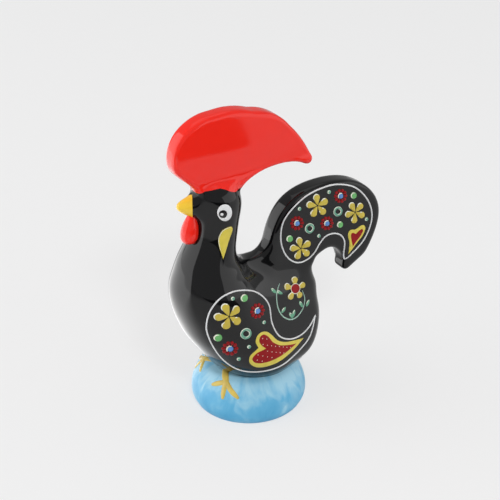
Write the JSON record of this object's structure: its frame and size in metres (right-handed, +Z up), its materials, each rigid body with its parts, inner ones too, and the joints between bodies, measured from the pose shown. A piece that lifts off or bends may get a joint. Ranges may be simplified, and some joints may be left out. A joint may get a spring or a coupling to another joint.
{
  "type": "ceramic rooster ornament",
  "caption": "Glazed ceramic rooster ornament with a large comb, a hooked fan tail and raised enamel hearts and flowers, standing on a bell-shaped base.",
  "frame": {"origin": "centre of the base's foot ring, on the table", "axes": "+Z up, -X forward where the beak points, -Y to the bird's left side"},
  "size_m": [0.0972, 0.047, 0.1314],
  "materials": {
    "blue_glaze": "gloss",
    "black_glaze": "gloss",
    "red_glaze": "gloss",
    "yellow_glaze": "gloss",
    "gold_enamel": "satin",
    "dark_red_enamel": "satin",
    "blue_enamel": "satin",
    "green_enamel": "satin",
    "mint_enamel": "satin",
    "white_enamel": "gloss",
    "black_enamel": "gloss"
  },
  "bodies": {
    "root": {"base_bell": "blue_glaze", "body": "black_glaze", "tail": "black_glaze", "comb": "red_glaze", "beak": "yellow_glaze", "wattle": "red_glaze", "left_leg": "yellow_glaze", "left_eye_white": "white_enamel", "left_pupil": "black_enamel", "left_glint": "white_enamel", "left_cheek_feather": "gold_enamel", "left_sprig_petals": "gold_enamel", "left_sprig_centre": "dark_red_enamel", "left_sprig_vine": "mint_enamel", "left_sprig_leaves": "mint_enamel", "left_wing_border": "white_enamel", "left_wing_yellow_flowers": "gold_enamel", "left_wing_red_flowers": "dark_red_enamel", "left_wing_blue_centres": "blue_enamel", "left_wing_mint_rings": "mint_enamel", "left_wing_green_dots": "green_enamel", "left_wing_pearls": "mint_enamel", "left_wing_heart_rim": "gold_enamel", "left_wing_heart_fill": "dark_red_enamel", "left_tail_border": "white_enamel", "left_tail_yellow_flowers": "gold_enamel", "left_tail_red_flowers": "dark_red_enamel", "left_tail_blue_centres": "blue_enamel", "left_tail_mint_rings": "mint_enamel", "left_tail_green_dots": "green_enamel", "left_tail_pearls": "mint_enamel", "left_tail_heart_rim": "gold_enamel", "left_tail_heart_fill": "dark_red_enamel", "right_leg": "yellow_glaze", "right_eye_white": "white_enamel", "right_pupil": "black_enamel", "right_glint": "white_enamel", "right_cheek_feather": "gold_enamel", "right_sprig_petals": "gold_enamel", "right_sprig_centre": "dark_red_enamel", "right_sprig_vine": "mint_enamel", "right_sprig_leaves": "mint_enamel", "right_wing_border": "white_enamel", "right_wing_yellow_flowers": "gold_enamel", "right_wing_red_flowers": "dark_red_enamel", "right_wing_blue_centres": "blue_enamel", "right_wing_mint_rings": "mint_enamel", "right_wing_green_dots": "green_enamel", "right_wing_pearls": "mint_enamel", "right_wing_heart_rim": "gold_enamel", "right_wing_heart_fill": "dark_red_enamel", "right_tail_border": "white_enamel", "right_tail_yellow_flowers": "gold_enamel", "right_tail_red_flowers": "dark_red_enamel", "right_tail_blue_centres": "blue_enamel", "right_tail_mint_rings": "mint_enamel", "right_tail_green_dots": "green_enamel", "right_tail_pearls": "mint_enamel", "right_tail_heart_rim": "gold_enamel", "right_tail_heart_fill": "dark_red_enamel"}
  },
  "joints": []
}
